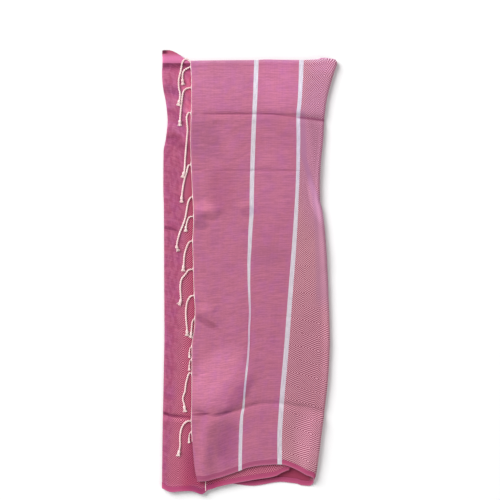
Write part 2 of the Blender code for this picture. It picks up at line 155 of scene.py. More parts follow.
# Finer creases that only the finished cloth has. They fade towards both ends of their path.
UPPER_CREASE = ((-150, 364), (-42, 363), (18, 364), (68, 361), (105, 359), (128, 356), (190, 344))
LOWER_CREASE = ((-150, -316), (-114, -323), (-96, -330), (-72, -329), (-56, -325), (-35, -321),
                (-17, -315), (14, -304), (58, -303), (87, -305), (116, -310), (146, -317),
                (195, -328))
FLAP_CREASES = (
    # the pressed crease across the top, deeper past the far stripe, with a lip under it
    (UPPER_CREASE, 3, -1.5),
    (((-90, 363), (-42, 362), (18, 363)), 3.6, -0.8),
    (((96, 360), (128, 356), (190, 344)), 5.5, -1.9),
    (((-112, 350), (-42, 350), (10, 351), (96, 348)), 7, 1.8),
    (((104, 346), (172, 336)), 8, 1.2),
    # wrinkles under it by the fringe
    (((-134, 359), (-116, 345)), 3.6, -1),
    (((-104, 356), (-84, 344)), 5, -1),
    (((-84, 345), (-52, 320)), 9, -1.5),
    (((-2, 342), (-26, 336), (-44, 326)), 5, 1),
    (((-110, 322), (-72, 306)), 7, 0.9),
    # light wrinkles of the upper half
    (((-132, 293), (-111, 294), (-84, 291)), 3, -1.1),
    (((-96, 291), (-63, 290), (-40, 294)), 3.2, -0.6),
    (((-22, 280), (2, 301)), 3.6, -0.7),
    (((-63, 313), (-15, 320)), 3.6, -0.6),
    (((19, 319), (79, 316)), 3.6, -0.6),
    (((17, 297), (52, 306)), 3.6, -0.5),
    (((-80, 246), (-33, 257), (-15, 264), (6, 278)), 3.6, -0.9),
    (((-112, 262), (-84, 256)), 4, 0.6),
    # light crease across, which starts as a sharp one
    (((-136, 232), (-120, 233), (-107, 235), (-90, 238)), 3, -1.6),
    (((-100, 234), (1, 233), (20, 233)), 2.6, -0.9),
    (((-6, 233.5), (60, 233), (118, 231)), 2.4, -1.6),
    (((-86, 227), (1, 228), (14, 228)), 2.6, -0.6),
    (((26, 222), (100, 221)), 3, 0.4),
    # pucker at two roots
    (((-116, 163), (-94, 176)), 4, -1),
    (((-134, 174), (-112, 172)), 2.6, -1),
    (((-122, 134), (-92, 139), (-58, 142)), 9, 2.4),
    (((-130, 124), (-84, 118), (-64, 122)), 7, -2.2),
    (((-130, 118), (-108, 117)), 4, 0.9),
    (((-126, 108), (-92, 98)), 8, -1.5),
    # wrinkles round the root under the middle
    (((-130, -39), (-113, -34), (-97, -37), (-74, -46)), 3.6, 0.8),
    (((-130, -61), (-109, -63), (-95, -71), (-82, -80)), 3.4, 0.9),
    (((-128, -67), (-108, -70)), 3, -0.9),
    (((-110, -82), (-78, -93)), 11, 1.9),
    (((-124, -98), (-99, -115), (-68, -133)), 9, -2.4),
    (((-15, -103), (60, -104), (180, -104)), 3.4, -0.5),
    # bright swell over the lower crease, and the dark slope beside it
    (((-132, -239), (-118, -238), (-104, -232), (-80, -228)), 3, -1.1),
    (((-60, -187), (-32, -189)), 2.8, -0.6),
    (((-52, -196), (-26, -198)), 2.8, -0.5),
    (((-52, -228), (-38, -236), (-24, -246)), 3.6, -1.4),
    (((-62, -306), (-96, -312)), 9, 1.6),
    (((6, -250), (0, -284), (-20, -306)), 8, -1.6),
    # the pressed crease across the bottom, deepest by the fringe
    (LOWER_CREASE, 4, -1.2),
    (((-156, -315), (-130, -321), (-113, -325), (-97, -330), (-83, -336), (-70, -342)),
     4.2, -3.2),
    (((-62, -326), (-35, -321), (-8, -312)), 4.5, -1.2),
    (((104, -306), (146, -317), (195, -328)), 5.5, -1.6),
    (((-136, -311), (-110, -319)), 2.8, -0.9),
    (((-150, -334), (-112, -342)), 7, 1),
    # ridge and hollow under it
    (((-96, -336), (-104, -390), (-106, -452)), 13, 3),
    (((-38, -346), (-48, -395), (-52, -444)), 26, -3),
)
UNDER_CREASES = (
    (((-216, 474), (-176, 474), (-136, 475)), 4, -2.4),
    (((-206, 412), (-176, 410)), 7, -1.2),
    (((-206, 390), (-172, 388)), 8, 1.2),
    (((-206, 336), (-164, 330)), 9, 2),
    (((-206, 306), (-146, 309)), 6, -2.4),
    (((-206, 92.5), (-156, 92)), 3.4, -2.2),
    (((-206, 82), (-160, 80)), 7, 1.3),
    (((-206, 14), (-170, 16)), 4, -0.6),
    (((-206, -22), (-164, -26)), 4, -0.8),
    (((-206, -46), (-160, -45)), 4, -1),
    (((-206, -129), (-162, -128)), 4, -0.7),
    (((-216, -326), (-180, -331), (-130, -334)), 3.6, -2.4),
    (((-216, -341), (-130, -346)), 7, 1.6),
)
FADING_SHARE = 0.22
CREASE_REACH = 2.6  # widths of a crease from its path where it has run out

# Small unevenness of a cloth that has been folded and shaken out: size across and up, and
# height. It differs on each layer, and is flatter under the flap.
BROAD_RIPPLE = (64, 44, 1.2)
FINE_RIPPLE = (30, 10, 0.24)
FLAP_LAYER = 0
UNDER_LAYER = 5
UNDER_RIPPLE_SHARE = 0.5

# Gathers where each tassel draws on the fringed edge
GATHER_LENGTH = 13
GATHER_WIDTH = 4
GATHER_RISE = 0.8

# Steps along the cloth: end of each stretch, and its number of faces. The lower hem has a short
# wave beside the corner of the flap.
WAVE_START = 838
WAVE_END = 874
COLUMN_RUNS = (
    (NEAR_STRIPE, 30), (FAR_STRIPE, 20), (FLAP_END, 16), (BACK_START, 10), (531, 16),
    (BACK_END, 6), (UNDER_START, 8), (WAVE_START, 17), (WAVE_END, 14), (UNDER_END, 16),
    (TAIL_START, 4), (CLOTH_LENGTH, 5),
)

# Rows up the cloth: close by the hems and at these heights of creases, and wider elsewhere. Of
# the rows past the flap every second one is kept where it shows, and every eighth elsewhere.
CREASE_HEIGHTS = (478, 364, 357, 350, 293, 233, 228, 172, -64, -238, -305, -314, -322, -330)
CLOSE_STEP = 1.3
WIDE_STEP = 2.6
CLOSE_REACH = 9
HEM_STEP = 1.5
STRIP_END = 880
LOW_SHARE = 0.075
SHOWN_EVERY = 2
HIDDEN_EVERY = 8

# Fringes. Short tassels are thinner: their size grows from the short length to the full one.
STRIP_GAP = 0.3
STRIP_WIDTH = 2
CORD_RADIUS = 2.25
ROOT_LENGTH = 8
ROOT_RADIUS = 0.9
TWIST_PITCH = 11
TWIST_STEPS = 10
PLY_SHARE = 0.455
KNOT_FROM_TIP = 10.5
KNOT_LENGTH = 4.4
KNOT_RADIUS = 2.3
KNOT_STRAND = 1.4
KNOT_TURNS = 1.7
STEPS_A_TURN = 12
TUFT_THREADS = 20
TUFT_SPREAD = 5.6
TUFT_DEPTH = 1.7
TUFT_STEPS = 5
TUFT_START = 0.3
TUFT_OPENING = 1.4
TUFT_RAGGED = 2.5
TUFT_UNEVEN = (0.75, 1.1)
THREAD_RADIUS = 0.48
STRAND_SIDES = 6
SHORT_SIZE = 0.6
SHORT_LENGTH = 26
FULL_LENGTH = 60
WEB_THREADS = 5
WEB_STEPS = 7
WEB_REACH = 20
WEB_START = 0.1
WEB_WIDTH = 2.4
EDGE_THREAD_OUT = 0.5
EDGE_THREAD_END = -390
EDGE_THREAD_STEP = 9
EDGE_THREAD_SWAY = 0.25
EDGE_THREAD_RHYTHM = 3

# Tassels of the outer edge: height of the root, then points as (out from the edge, drop)
SMALL_ROUTE = ((4.6, 3.4), (6.5, 14), (6.7, 27))
OUTER_TASSELS = (
    (482, ((9.7, -7.5), (14.5, -6), (19.4, 2), (23.5, 21), (27.9, 45), (27.4, 58), (24.8, 72),
           (25, 80), (29, 101))),
    (472, ((7, 3.2), (13.4, 6.4), (18.5, 13), (19.8, 23), (18.9, 43))),
    (424, ((10.6, 1.9), (17, 6), (20.6, 14), (22.8, 31), (25.5, 55), (27.2, 77), (28.3, 89))),
    (365, ((5.8, -1.5), (9.6, 4), (11.3, 10), (10.3, 22), (9, 38), (10.6, 57), (12.6, 80),
           (14.5, 105), (16.3, 132), (21.5, 149))),
    (247, ((6.6, 2.2), (10.9, 17), (15.3, 32), (19, 49), (22, 72), (23, 88))),
    (173, ((4.8, 1.5), (10.6, 10), (14.2, 28), (17.7, 48), (23.2, 65), (30.3, 82), (35.4, 101),
           (37.5, 115), (33.5, 126))),
    (128, ((7.1, 0.6), (12, 3.4), (15, 10), (17, 18), (20, 36))),
    (72, ((8.1, 2.6), (14.5, 15), (19.8, 34), (21.2, 52), (22.8, 71))),
    (7, ((10.9, 2.2), (19.6, 13), (27, 22), (30, 32), (30.7, 42), (30, 57), (29.3, 69),
         (30.7, 76), (35, 83))),
    (-54, ((8.5, 1.2), (12.9, 6.2), (17.9, 18), (20.2, 40), (18.6, 66), (17.3, 80), (17.9, 94))),
    (-106, ((4.4, 3.5), (7.3, 12), (8.2, 23), (9.4, 36), (11, 46))),
    (-171, SMALL_ROUTE),
    (-200, SMALL_ROUTE),
    (-233, ((5.2, -1.5), (10.5, 9), (14.8, 28), (16.2, 40), (21.3, 58), (17.8, 74), (16.8, 89))),
    (-342, ((7.6, 0.1), (13.5, 3), (21.6, 14), (25.4, 27), (26.6, 43), (26.2, 54), (28.4, 69),
            (31.2, 82))),
    (-367, SMALL_ROUTE),
)
LOOSE_THREAD = ((-101.2, -474), (-100.6, -486), (-101, -494), (-100.4, -503))
LOOSE_THREAD_RADIUS = 0.8

# Tassels of the hidden inner edge hang alike, in the room beside the left fold.
INNER_TASSEL_COUNT = 16
INNER_FIRST_ROOT = 466
INNER_ROOT_SPACING = 58
INNER_ROUTE = ((4.5, 3), (7.5, 14), (8.6, 40), (13.5, 66), (17, 84))
INNER_LONGER = 5
INNER_RHYTHM = 2.3
INNER_HEM_MARGIN = 12

# Weave: pitches and widths in millimetres, and sizes of noise across, up and deep. A range is
# where noise, or a place, starts to show and where it shows in full.
STRIPE_WIDTH = 10.4
STRIPE_SOFT = 0.8
NARROW_WIDTH = 5.7
NARROW_FROM = (620, 395)
NARROW_TO = (90, 190)
STRIPE_RANGE = (0.38, 0.6)
THREAD_PITCH = 1.3
STREAK_SIZE = (42, 2.4, 1)
STREAK_RANGE = (0.38, 0.62)
DIAMOND_WIDTH = 58
DIAMOND_HEIGHT = 66
LINE_PITCH = 5
CROSSING_SHARE = 0.4
RAISED_RANGE = (0.25, 0.43)
THREAD_RELIEF = 0.35
DIAMOND_RELIEF = 0.65
STREAK_RELIEF = 0.5

# Layers of noise over each other: size, detail and share
GROUND_LAYERS = (
    (STREAK_SIZE, 2, 0.6),
    ((9, 1.6, 1), 1, 0.3),  # slubs
    ((2.6, 210, 1), 1, 0.1),  # streaks up the cloth
)
STRIPE_LAYERS = (((1.4, 22, 1), 2, 0.7), ((7, 1.8, 1), 1, 0.3))

# Patches of dye in the plain weave: size, range and tint
PATCH_DETAIL = 3
PATCH_SHARE = 0.7
DYE_PATCHES = (
    ((30, 46, 1), (0.48, 0.66), (0.98, 0.95, 1.12)),  # mauve
    ((26, 40, 1), (0.62, 0.42), (1.04, 1.04, 0.92)),  # salmon
)

# Painted shade: darker below the upper crease, over the strip (which also has its own mottle and
# diamonds), inside the fold, and under the flap's edge. A band is its middle, width and softness.
SHADED_LOWER_PART = (884, 858)
STRIP_FROM = (697, 735)
DIAMONDS_FROM = (738, 766)
DIAMONDS_LEAN = 0.06
MOTTLE_SIZE = (8, 17, 1)
MOTTLE_DETAIL = 4
MOTTLE_RANGE = (0.42, 0.58)
SHADED_INSIDE_FROM = (345, 361)
SHADE_UNDER_FLAP_EDGE = (855, 112, 46)

# Band of painted sheen across the diamond weave: from its upper end, out to the right fold
SHEEN_START = 270
SHEEN_TOP = 872
SHEEN_SLANT = 0.08
SHEEN_BEND = 760
SHEEN_LOWER_SLANT = 0.46
SHEEN_LIMIT = 330
SHEEN_WIDTH = 20
SHEEN_SPREAD = 12
SHEEN_SPREADING = (740, 600)
SHEEN_SOFT = 12
SHEEN_UPPER_END = (884, 866)
SHEEN_LOWER_END = (380, 440)
SHEEN_SHARE = 0.8

# Painted shade along the crease lines: height, fall to the right past a bend, width, softness,
# ranges across the towel where the line starts or ends, and tint. The second one is the deeper
# stretch past the far stripe.
CREASE_BEND = 50
CREASE_SHADE_LINES = (
    (363.5, 0.125, 3.2, 2.6, [(-118, -96)], (0.74, 0.62, 0.7)),
    (363.5, 0.125, 7, 4, [(106, 118)], (0.76, 0.6, 0.7)),
    (233, 0, 2.2, 2, [(-134, -112), (128, 112)], (0.84, 0.78, 0.82)),
)

# Rolled top of the strip, with painted light along its brow, painted shade at its top edge and
# under it, and a painted shadow in its corner: heights up the towel, and where it starts along the
# cloth
ROLL_FROM = (724, 730)
ROLL_SHADE = (460, 476)
ROLL_FOOT = (479, 481)
ROLL_BROW = (493, 506)
CORNER_ALONG = (752, 742)
CORNER_UP = (500, 504)

# Hems, by distance from the side of the cloth. A line is a band and its tint.
LOWER_SIDE = (510, 490)
HEM_RANGE = (12.6, 11.4)
HEM_LINES = (
    ((8.4, 6, 3), (0.86, 0.8, 0.86)),  # painted shade along the edge of the turned-under part
    ((12.4, 2, 1.4), (0.72, 0.62, 0.7)),  # stitches, with painted shade at the hem's step
)
UPPER_HEM_RANGE = (9, 4)
HEM_EDGE_RANGE = (2.2, 0.6)
HEM_EDGE_SHARE = 0.6

# Yarn, in metres
YARN_TONE_SIZE = (0.03,) * 3
YARN_TONE_RANGE = (0.35, 0.65)
FIBRE_SIZE = (0.0006,) * 3
FIBRE_RANGE = (0.55, 0.8)
FIBRE_SHARE = 0.35

# Studio. The camera looks straight down.
VIEW_WIDTH = 1.1494
VIEW_CENTRE = (0.0014, 0.0506)
VIEW_LEVEL = 0.012
CAMERA_HEIGHT = 2.7
SENSOR = 36
FLOOR_REACH = 6

# Lights: place, size and power
KEY_LIGHT = ((-4.6, 4.3, 5.2), 5.5, 837)
FILL_LIGHT = ((2.8, -2.4, 3.6), 3, 56)
ROOM_LIGHT = 0.36


def smooth_line(points):
    """A function through the points that is smooth and never overshoots them."""
    points = sorted(points)
    steps = list(zip(points, points[1:]))
    slopes = [(b[1] - a[1]) / (b[0] - a[0]) for a, b in steps]
    tangents = [slopes[0]]
    for before, after in zip(slopes, slopes[1:]):
        same_way = before * after > 0
        tangents.append(2 * before * after / (before + after) if same_way else 0.0)
    tangents.append(slopes[-1])

    def value(x):
        x = min(max(x, points[0][0]), points[-1][0])
        i = 0
        while i < len(steps) - 1 and x > points[i + 1][0]:
            i += 1
        (x0, y0), (x1, y1) = steps[i]
        span = x1 - x0
        s = (x - x0) / span
        rise = y1 - y0
        bend_in = tangents[i] * span - rise
        bend_out = rise - tangents[i + 1] * span
        return y0 + s * rise + s * (1 - s) * ((1 - s) * bend_in + s * bend_out)

    return value


left_fold_at = smooth_line(LEFT_FOLD)
right_fold_at = smooth_line(RIGHT_FOLD)
fringed_edge_at = smooth_line(FRINGED_EDGE)
near_stripe_at = smooth_line(NEAR_STRIPE_LINE)
far_stripe_at = smooth_line(FAR_STRIPE_LINE)
inner_fold_at = smooth_line(INNER_FOLD)
lower_hem_at = smooth_line(LOWER_HEM)
upper_hem_at = smooth_line(UPPER_HEM)


def between(a, b, share):
    return a + (b - a) * share


def share_of(value, start, end):
    return (value - start) / (end - start)


def eased(share):
    """A share that leaves 0 and reaches 1 gently."""
    share = min(max(share, 0.0), 1.0)
    return share * share * (3 - 2 * share)


def nearest_on_path(x, y, path):
    """Distance from a point to a chain of straight runs, and the share of the runs up to there."""
    nearest = math.inf
    gone = 0.0
    for i, ((ax, ay), (bx, by)) in enumerate(zip(path, path[1:])):
        run_x, run_y = bx - ax, by - ay
        share = ((x - ax) * run_x + (y - ay) * run_y) / (run_x ** 2 + run_y ** 2)
        share = min(max(share, 0.0), 1.0)
        away = math.hypot(x - ax - share * run_x, y - ay - share * run_y)
        if away < nearest:
            nearest = away
            gone = (i + share) / (len(path) - 1)
    return nearest, gone


def relief(x, y, folds, creases):
    """Height that the soft folds and the finer creases add at a place."""
    added = sum(height(x, y) for height in creases)
    for path, width, rise in folds:
        away, _ = nearest_on_path(x, y, path)
        added += rise * math.exp(-(away / width) ** 2)
    return added


def crease_height(path, width, rise):
    """A function that gives the height which one crease adds at a place."""
    reach = CREASE_REACH * width
    low_x, low_y = (min(values) - reach for values in zip(*path))
    high_x, high_y = (max(values) + reach for values in zip(*path))

    def height(x, y):
        if not (low_x < x < high_x and low_y < y < high_y):
            return 0.0
        away, gone = nearest_on_path(x, y, path)
        fading = eased(min(gone, 1 - gone) / FADING_SHARE)
        return rise * math.exp(-(away / width) ** 2) * fading

    return height


def ripples(x, y, layer):
    """Height of the cloth's small unevenness at a place, different on each layer."""
    height = 0.0
    for across, up, rise in (BROAD_RIPPLE, FINE_RIPPLE):
        height += rise * noise.noise((x / across, y / up, layer))
    return height


def gathers():
    """Short ridges that run into the flap from the root of each tassel."""
    for root, _ in OUTER_TASSELS:
        edge = fringed_edge_at(root)
        path = ((edge - GATHER_LENGTH, root), (edge + GATHER_LENGTH, root + GATHER_WIDTH / 2))
        yield path, GATHER_WIDTH, GATHER_RISE


flap_creases = [crease_height(*crease) for crease in (*FLAP_CREASES, *gathers())]
under_creases = [crease_height(*crease) for crease in UNDER_CREASES]


def under_height(x, y):
    """Height of the cloth under the flap."""
    ripple = ripples(x, y, UNDER_LAYER) * UNDER_RIPPLE_SHARE
    return UNDER_LEVEL + relief(x, y, UNDER_FOLDS, under_creases) + ripple


def flap_height(x, y):
    """Height of the flap, which nowhere sinks into the layer under it."""
    from_edge = max(x - fringed_edge_at(y), 0.0)
    droop = FRINGED_EDGE_DROOP * math.exp(-(from_edge / DROOP_WIDTH) ** 2)
    free = FLAP_LEVEL + relief(x, y, FLAP_FOLDS, flap_creases) + ripples(x, y, FLAP_LAYER)
    return max(free - droop, under_height(x, y) + HEM_THICKNESS + REST_GAP)


def round_fold(root_x, depth, z_from, z_to, share):
    """A point on the half round of a fold; a negative depth bulges to the left."""
    angle = math.pi * share
    middle = (z_from + z_to) / 2
    return root_x + depth * math.sin(angle), middle + (z_from - z_to) / 2 * math.cos(angle)


def cross_section(along, y):
    """Place across the towel and height of the cloth's middle, at a distance along the cloth."""
    right_root = right_fold_at(y) - RIGHT_FOLD_DEPTH
    left_root = left_fold_at(y) + LEFT_FOLD_DEPTH
    inner_root = inner_fold_at(y) - INNER_FOLD_DEPTH
    if along <= FLAP_END:
        stations = (
            (0.0, fringed_edge_at(y)), (NEAR_STRIPE, near_stripe_at(y)),
            (FAR_STRIPE, far_stripe_at(y)), (FLAP_END, right_root),
        )
        x = smooth_line(stations)(along)
        return x, flap_height(x, y)
    if along <= BACK_START:
        share = share_of(along, FLAP_END, BACK_START)
        upper = flap_height(right_root, y)
        return round_fold(right_root, RIGHT_FOLD_DEPTH, upper, BACK_LEVEL, share)
    if along <= BACK_END:
        return between(right_root, left_root, share_of(along, BACK_START, BACK_END)), BACK_LEVEL
    if along <= UNDER_START:
        share = share_of(along, BACK_END, UNDER_START)
        upper = under_height(left_root, y)
        return round_fold(left_root, -LEFT_FOLD_DEPTH, BACK_LEVEL, upper, share)
    if along <= UNDER_END:
        x = between(left_root, inner_root, share_of(along, UNDER_START, UNDER_END))
        return x, under_height(x, y)
    if along <= TAIL_START:
        share = share_of(along, UNDER_END, TAIL_START)
        upper = under_height(inner_root, y)
        return round_fold(inner_root, INNER_FOLD_DEPTH, upper, TAIL_LEVEL, share)
    return between(inner_root, TAIL_EDGE, share_of(along, TAIL_START, CLOTH_LENGTH)), TAIL_LEVEL


def in_hem(up):
    """1 in the turned band along either long side of the cloth, and 0 on its ground."""
    from_side = min(up, 1 - up) * CLOTH_WIDTH
    return eased(share_of(from_side, HEM_WIDTH + HEM_STEP, HEM_WIDTH))


def cloth_point(along, up):
    """Middle of the cloth: distance along it, and share of the way up it."""
    y = between(lower_hem_at(along), upper_hem_at(along), up)
    x, z = cross_section(along, y)
    lift = (HEM_THICKNESS - CLOTH_THICKNESS) / 2 * in_hem(up)
    return Vector((x, y, z + lift))


def sheet_columns():
    columns = [0.0]
    for end, faces in COLUMN_RUNS:
        start = columns[-1]
        columns += [between(start, end, (i + 1) / faces) for i in range(faces)]
    return columns


def sheet_rows():
    """Shares of the way up the cloth, close by the hems and the creases."""
    low, high = lower_hem_at(0), upper_hem_at(0)
    crease_shares = [share_of(height, low, high) for height in CREASE_HEIGHTS]
    rows = [0.0]
    while rows[-1] < 1:
        up = rows[-1]
        from_crease = min(abs(up - crease) for crease in crease_shares) * CLOTH_WIDTH
        from_side = min(up, 1 - up) * CLOTH_WIDTH
        step = between(CLOSE_STEP, WIDE_STEP, eased(from_crease / CLOSE_REACH))
        if from_side < HEM_WIDTH + CLOSE_STEP:
            step = HEM_STEP
        rows.append(up + step / CLOTH_WIDTH)
    return [row / rows[-1] for row in rows]


def thin_hidden_rows(bm, columns, rows):
    """Drops rows of the grid past the flap, fewer of them where they show."""
    dropped = []
    for edge in bm.edges:
        first, second = edge.verts
        if abs(first.co.y - second.co.y) > 0.5 / len(rows):
            continue
        row = round((first.co.y + 0.5) * (len(rows) - 1))
        middle = ((first.co.x + second.co.x) / 2 + 0.5) * (len(columns) - 1)
        along = between(columns[math.floor(middle)], columns[math.ceil(middle)], 0.5)
        on_strip = BACK_END < along < STRIP_END
        every = SHOWN_EVERY if on_strip or rows[row] < LOW_SHARE else HIDDEN_EVERY
        if along > BACK_START and not in_hem(rows[row]) and row % every:
            dropped.append(edge)
    bmesh.ops.dissolve_edges(bm, edges=dropped, use_verts=True)


def ride_and_stand_for(piece, node):
    """The piece rides on the one body and takes the place of its solid."""
    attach(piece, "root")
    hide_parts(node)
    return piece


def new_object(name, data):
    thing = bpy.data.objects.new(name, data)
    bpy.context.scene.collection.objects.link(thing)
    return thing


def make_cloth(finish):
    """The whole length of cloth as one folded sheet, thicker in its hems."""
    columns = sheet_columns()
    rows = sheet_rows()
    mesh = bpy.data.meshes.new("woven_cloth")
    bm = bmesh.new()
    bmesh.ops.create_grid(bm, x_segments=len(columns) - 1, y_segments=len(rows) - 1, size=0.5)
    thin_hidden_rows(bm, columns, rows)
    places = []
    hems = []
    for vert in bm.verts:
        along = columns[round((vert.co.x + 0.5) * (len(columns) - 1))]
        up = rows[round((vert.co.y + 0.5) * (len(rows) - 1))]
        vert.co = cloth_point(along, up) * MM
        places += (along, up * CLOTH_WIDTH, 0.0)
        hems.append(in_hem(up))
    bm.to_mesh(mesh)
    bm.free()
    mesh.attributes.new("cloth_place", "FLOAT_VECTOR", "POINT").data.foreach_set("vector", places)
    mesh.shade_smooth()
    mesh.materials.append(finish)

    cloth = new_object("woven_cloth", mesh)
    hem_group = cloth.vertex_groups.new(name="hem")
    for index, share in enumerate(hems):
        hem_group.add([index], share, "REPLACE")
    solid = cloth.modifiers.new("thickness", "SOLIDIFY")
    solid.thickness = HEM_THICKNESS * MM
    solid.offset = 0.0
    solid.vertex_group = hem_group.name
    solid.thickness_vertex_group = CLOTH_THICKNESS / HEM_THICKNESS
    return ride_and_stand_for(cloth, "towel_cloth")


# An edge has its place and height, and the floor under its tassels, as functions, and its ends.
Edge = namedtuple("Edge", "x z floor low high")
Strand = namedtuple("Strand", "points radii")
Cord = namedtuple("Cord", "place length size")


def tassel_cord(root, offsets, edge):
    """Centre line of one tassel, from the edge of the cloth to the tip of its tuft."""
    plan = [(edge.x(root) - STRIP_GAP - STRIP_WIDTH / 2, root)]
    plan += [(edge.x(root) - out, root - drop) for out, drop in offsets]
    lengths = [0.0]
    for (ax, ay), (bx, by) in zip(plan, plan[1:]):
        lengths.append(lengths[-1] + math.hypot(bx - ax, by - ay))
    x_at, y_at = (smooth_line(zip(lengths, places)) for places in zip(*plan))
    size = between(SHORT_SIZE, 1.0, eased(share_of(lengths[-1], SHORT_LENGTH, FULL_LENGTH)))

    def place(s):
        x, y = x_at(s), y_at(s)
        from_knot = (s - lengths[-1] + KNOT_FROM_TIP) / KNOT_LENGTH
        lift = (KNOT_RADIUS + KNOT_STRAND - CORD_RADIUS) * math.exp(-from_knot ** 2)
        resting = edge.floor(x, y) + REST_GAP + (CORD_RADIUS + lift) * size
        return Vector((x, y, between(edge.z(root), resting, eased(s / ROOT_LENGTH))))

    return Cord(place, lengths[-1], size)


def cord_frame(cord, s):
    """Place on a cord, with the directions to its side and up from it."""
    nudge = 0.5
    ahead = cord.place(min(s + nudge, cord.length))
    behind = cord.place(max(s - nudge, 0.0))
    along = (ahead - behind).normalized()
    side = along.cross(Vector((0, 0, 1))).normalized()
    return cord.place(s), side, side.cross(along)


def shares(steps):
    """Equal steps from 0 to 1."""
    return [i / steps for i in range(steps + 1)]


def two_plies(cord, end):
    """The two plies of a twisted cord, up to its knot."""
    steps = round(end / TWIST_PITCH * TWIST_STEPS)
    plies = []
    for turn in (0.0, math.pi):
        points = []
        radii = []
        for share in shares(steps):
            s = end * share
            centre, side, up = cord_frame(cord, s)
            full = between(ROOT_RADIUS, CORD_RADIUS * cord.size, eased(s / ROOT_LENGTH))
            angle = turn + math.tau * s / TWIST_PITCH
            ply_radius = full * PLY_SHARE
            off_centre = full - ply_radius
            points.append(centre + (side * math.cos(angle) + up * math.sin(angle)) * off_centre)
            radii.append(ply_radius)
        plies.append(Strand(points, radii))
    return plies


def thread(points, radius=THREAD_RADIUS):
    """A strand that is equally thick all along."""
    return Strand(points, [radius] * len(points))


def knot(cord, middle):
    """A strand wound round the cord."""
    points = []
    for share in shares(round(KNOT_TURNS * STEPS_A_TURN)):
        centre, side, up = cord_frame(cord, middle + KNOT_LENGTH * (share - 0.5))
        angle = math.tau * KNOT_TURNS * share
        out = side * math.cos(angle) + up * math.sin(angle)
        points.append(centre + out * KNOT_RADIUS * cord.size)
    return thread(points, KNOT_STRAND * cord.size)


def tuft(cord, start, chance):
    """Loose thread ends that flare out below the knot."""
    threads = []
    for i in range(TUFT_THREADS):
        angle = i * math.pi * (3 - math.sqrt(5))
        reach = cord.size * math.sqrt((i + 0.5) / TUFT_THREADS)
        end = between(cord.length - TUFT_RAGGED, cord.length, chance.random())
        uneven = between(*TUFT_UNEVEN, chance.random())
        flare_side = TUFT_SPREAD * reach * math.cos(angle) * uneven
        flare_up = TUFT_DEPTH * reach * math.sin(angle)
        points = []
        for share in shares(TUFT_STEPS):
            centre, side, up = cord_frame(cord, between(start, end, share))
            spread = between(TUFT_START, 1.0, share ** TUFT_OPENING)
            points.append(centre + side * flare_side * spread + up * flare_up * spread)
        threads.append(thread(points))
    return threads


def gathered_ends(root, above, below, edge):
    """Warp ends that run along the edge of the cloth from both sides into one tassel."""
    threads = []
    for reach in (above, -below):
        for i in range(WEB_THREADS):
            far = reach * (i + 1) / WEB_THREADS
            width = WEB_WIDTH * (1 - i / WEB_THREADS)
            points = []
            for share in shares(WEB_STEPS):
                y = root + far * (1 - share)
                out = between(WEB_START, width, eased(share))
                points.append(Vector((edge.x(y) - out, y, edge.z(y))))
            threads.append(thread(points))
    return threads


def edge_thread(edge):
    """The thread that binds the whole edge between the tassels."""
    points = []
    for share in shares(round((edge.high - edge.low) / EDGE_THREAD_STEP)):
        y = between(edge.low, edge.high, share)
        out = EDGE_THREAD_OUT + EDGE_THREAD_SWAY * math.sin(y / EDGE_THREAD_RHYTHM)
        points.append(Vector((edge.x(y) - out, y, edge.z(y))))
    return thread(points)


def strands_object(name, strands, finish):
    """One mesh of round strands, each along its own points."""
    curve = bpy.data.curves.new(name, "CURVE")
    curve.dimensions = "3D"
    curve.bevel_depth = MM
    curve.bevel_resolution = STRAND_SIDES // 2 - 2
    curve.use_fill_caps = True
    for strand in strands:
        spline = curve.splines.new("POLY")
        spline.points.add(len(strand.points) - 1)
        for point, centre, radius in zip(spline.points, strand.points, strand.radii):
            point.co = (*(centre * MM), 1.0)
            point.radius = radius
    guide = new_object(name + "_route", curve)
    depsgraph = bpy.context.evaluated_depsgraph_get()
    mesh = bpy.data.meshes.new_from_object(guide.evaluated_get(depsgraph))
    bpy.data.objects.remove(guide)
    mesh.name = name
    mesh.shade_smooth()
    mesh.materials.clear()
    mesh.materials.append(finish)
    return new_object(name, mesh)


def make_fringe(name, tassels, edge, extra, finish):
    """A row of tassels with the warp ends that are gathered into them."""
    chance = random.Random(name)
    roots = [root for root, _ in tassels]
    strands = [*extra, edge_thread(edge)]
    for i, (root, offsets) in enumerate(tassels):
        cord = tassel_cord(root, offsets, edge)
        knot_middle = cord.length - KNOT_FROM_TIP
        strands += two_plies(cord, knot_middle)
        strands.append(knot(cord, knot_middle))
        strands += tuft(cord, knot_middle, chance)
        above = min((roots[i - 1] - root) / 2, WEB_REACH) if i else edge.high - root
        below = min((root - roots[i + 1]) / 2, WEB_REACH) if i + 1 < len(roots) else WEB_REACH
        strands += gathered_ends(root, above, below, edge)
    return strands_object(name, strands, finish)


def make_outer_fringe(finish):
    def edge_z(y):
        return flap_height(fringed_edge_at(y), y)

    def under_face(x, y):
        return under_height(x, y) + CLOTH_THICKNESS / 2

    loose = [Vector((x, y, under_face(x, y) + LOOSE_THREAD_RADIUS)) for x, y in LOOSE_THREAD]
    edge = Edge(fringed_edge_at, edge_z, under_face, EDGE_THREAD_END, UPPER_HEM[0][1] - 1)
    fringe = make_fringe("corded_fringe_outer", OUTER_TASSELS, edge,
                         [thread(loose, LOOSE_THREAD_RADIUS)], finish)
    return ride_and_stand_for(fringe, "fringe_outer")


